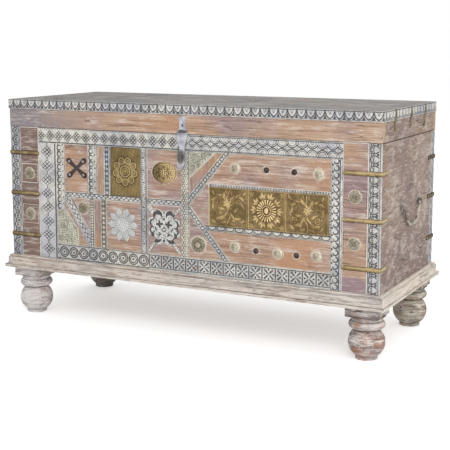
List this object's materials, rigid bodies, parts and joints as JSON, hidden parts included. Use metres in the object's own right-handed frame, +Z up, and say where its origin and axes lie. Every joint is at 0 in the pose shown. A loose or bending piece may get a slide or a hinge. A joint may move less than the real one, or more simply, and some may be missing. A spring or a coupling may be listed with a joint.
{
  "type": "dowry chest",
  "caption": "Wooden chest on turned feet with a carved, brass-mounted front, a hinged lid, a swinging hasp and bail handles on its sides",
  "frame": {"origin": "on the floor, under the middle of the plinth's outline", "axes": "+X along the chest to its right end, +Y from the carved front to the back, +Z up"},
  "size_m": [1.166, 0.486, 0.632],
  "materials": {
    "inner_wood": "raw boards, seen only inside",
    "back_wood": "weathered, lightly whitewashed",
    "side_wood": "grey pink wood with worn whitewash streaks",
    "plinth_wood": "whitewashed, worn to bare wood on the edges",
    "foot_wood": "turned, whitewashed, worn",
    "carved_wood": "carved, white distemper rubbed off the high parts, dark in the cuts",
    "panel_wood": "reddish brown with a thin white wash",
    "lid_wood": "weathered grey planks with cracks",
    "brass": "aged embossed brass sheet",
    "iron": "dark forged iron",
    "pale_iron": "forged iron with worn white wash",
    "white_metal": "pressed sheet, painted white and worn"
  },
  "bodies": {
    "case": {"back_board": "back_wood", "brass_bosses": "brass", "brass_relief_plates": "brass", "brass_rosette_plate": "brass", "column_panels": "panel_wood", "corner_panels": "panel_wood", "corner_straps": "brass", "corner_strips": "carved_wood", "floor_board": "inner_wood", "foliage_applique": "white_metal", "foliage_panels": "carved_wood", "foot_front_left": "foot_wood", "foot_front_right": "foot_wood", "foot_rear_left": "foot_wood", "foot_rear_right": "foot_wood", "front_board": "inner_wood", "handle_ears": "iron", "hasp_staple": "pale_iron", "hinge_case_leaves": "iron", "hinge_pins": "iron", "iron_cross": "iron", "iron_studs": "iron", "left_board": "side_wood", "oval_medallion": "brass", "plinth_back": "plinth_wood", "plinth_front": "plinth_wood", "plinth_left": "plinth_wood", "plinth_right": "plinth_wood", "rail_scallop": "carved_wood", "right_board": "side_wood", "slats_plain": "panel_wood", "square_panels": "panel_wood", "star_applique": "white_metal", "strap_nails": "brass", "strip_blocks_bottom": "carved_wood", "strip_circles_bottom": "carved_wood", "strip_double_pearl": "carved_wood", "strip_lattice_top": "carved_wood", "strip_lozenge_left": "carved_wood", "strip_lozenge_top": "carved_wood", "strip_scallop_right": "carved_wood", "strips_beaded": "carved_wood", "strips_diagonal": "carved_wood", "strips_pearl": "carved_wood", "strips_scroll": "carved_wood", "trapezoid_panels": "panel_wood"},
    "lid": {"lid_planks": "lid_wood", "lid_front": "panel_wood", "lid_back": "back_wood", "lid_sides": "side_wood", "lid_strip_front": "carved_wood", "lid_strips_side": "carved_wood", "lid_straps": "brass", "lid_nails": "brass", "hinge_lid_leaves": "iron", "hasp_plate": "pale_iron", "hasp_pin": "pale_iron"},
    "hasp": {"hasp_arm": "pale_iron"},
    "handle_left": {"handle_left": "iron"},
    "handle_right": {"handle_right": "iron"}
  },
  "joints": [
    {"name": "lid_hinge", "type": "hinge", "parent": "case", "child": "lid", "pos_m": [0, 0.2305, 0.55325], "axis": [-1, 0, 0], "range_deg": [0, 105]},
    {"name": "hasp_hinge", "type": "hinge", "parent": "lid", "child": "hasp", "pos_m": [0.0098, -0.2283, 0.557], "axis": [-1, 0, 0], "range_deg": [-8, 140]},
    {"name": "handle_left_hinge", "type": "hinge", "parent": "case", "child": "handle_left", "pos_m": [-0.5735, 0.00495, 0.37393], "axis": [0, 1, 0], "range_deg": [0, 110]},
    {"name": "handle_right_hinge", "type": "hinge", "parent": "case", "child": "handle_right", "pos_m": [0.5735, 0.00495, 0.37393], "axis": [0, -1, 0], "range_deg": [0, 110]}
  ]
}
